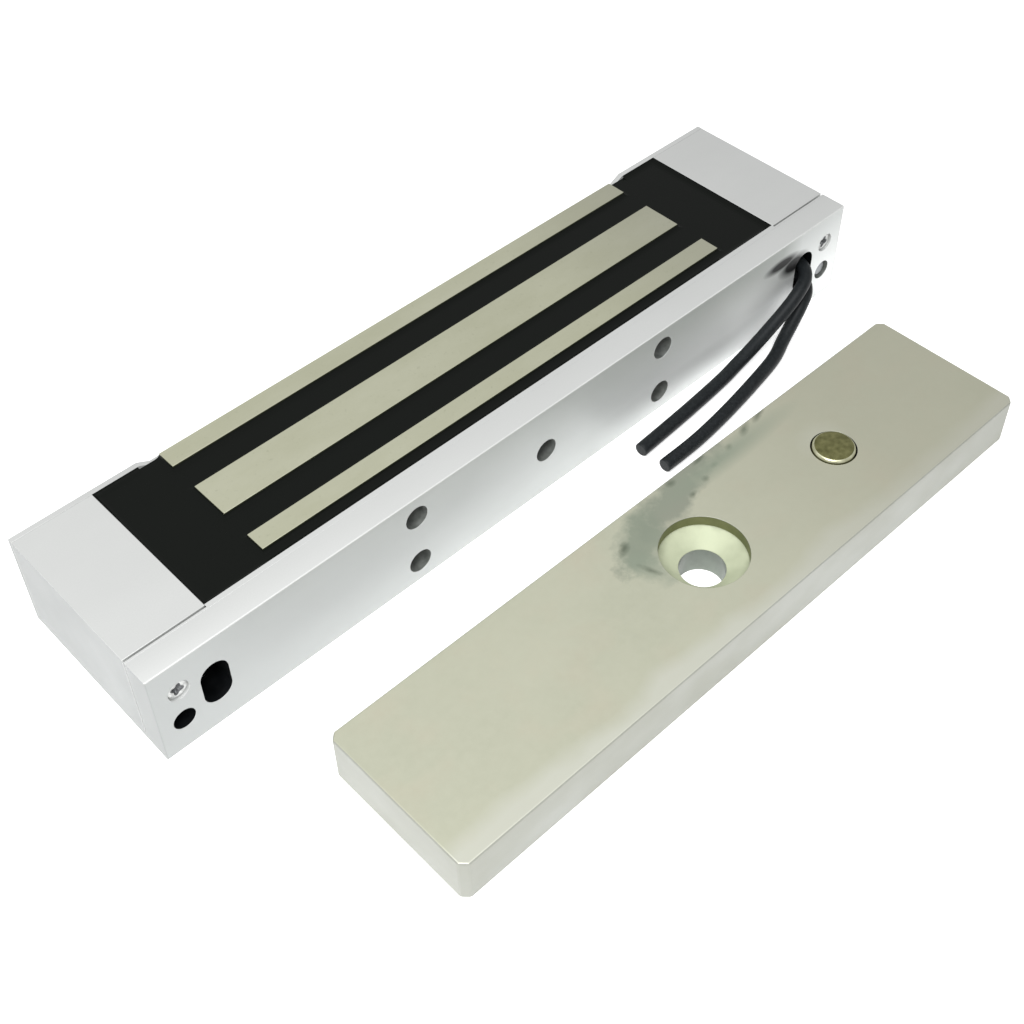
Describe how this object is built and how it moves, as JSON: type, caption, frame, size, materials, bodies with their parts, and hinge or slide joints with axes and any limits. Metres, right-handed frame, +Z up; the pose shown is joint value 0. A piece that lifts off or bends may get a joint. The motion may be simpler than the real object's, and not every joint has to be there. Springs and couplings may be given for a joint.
{
  "type": "magnetic door lock",
  "caption": "Electromagnetic door lock: potted magnet in an aluminium housing on its mounting plate, with bare leads and a steel armature plate with a release pin.",
  "frame": {"origin": "centre of the pair's box at the surface it lies on, leads left out", "axes": "+X along the lock towards the end with the leads, -Y the side of the mounting plate and armature, +Z up out of the pole faces"},
  "size_m": [0.17, 0.0914, 0.0212],
  "materials": {
    "housing_aluminium": "satin extruded",
    "plate_aluminium": "satin anodised",
    "core_steel": "ground",
    "armature_steel": "nickel plated, lightly brushed",
    "screw_steel": "zinc plated",
    "epoxy": "black casting resin",
    "bobbin_plastic": "moulded nylon",
    "winding_copper": "enamelled copper wire",
    "coil_tape": "polyester tape",
    "splice_red": "insulated crimp",
    "varistor_blue": "dipped epoxy",
    "lead_black": "PVC insulation",
    "pin_brass": "dull brass"
  },
  "bodies": {
    "magnet": {"housing": "housing_aluminium", "end_block_left": "housing_aluminium", "end_block_right": "housing_aluminium", "mounting_plate": "plate_aluminium", "body_screws": "screw_steel", "plate_screws": "screw_steel", "e_core": "core_steel", "coil_bobbin": "bobbin_plastic", "coil_winding": "winding_copper", "coil_tape": "coil_tape", "potting_epoxy": "epoxy", "coil_leads": "winding_copper", "splice_sleeves": "splice_red", "surge_varistor": "varistor_blue", "lead_wire_left": "lead_black", "lead_wire_right": "lead_black"},
    "armature": {"armature_plate": "armature_steel", "spring_plug": "screw_steel", "release_spring": "screw_steel"},
    "pin": {"release_pin": "pin_brass"}
  },
  "joints": [
    {"name": "armature_swing", "type": "hinge", "parent": "magnet", "child": "armature", "pos_m": [0.003, -0.00017, 0.01605], "axis": [-1, 0, 0], "range_deg": [0, 180]},
    {"name": "release_pin_slide", "type": "slide", "parent": "armature", "child": "pin", "axis": [0, 0, 1], "range_m": [-0.0007, 0], "stiffness_N_per_m": 800, "springref_m": 0.003, "deforming": ["release_spring"]}
  ]
}
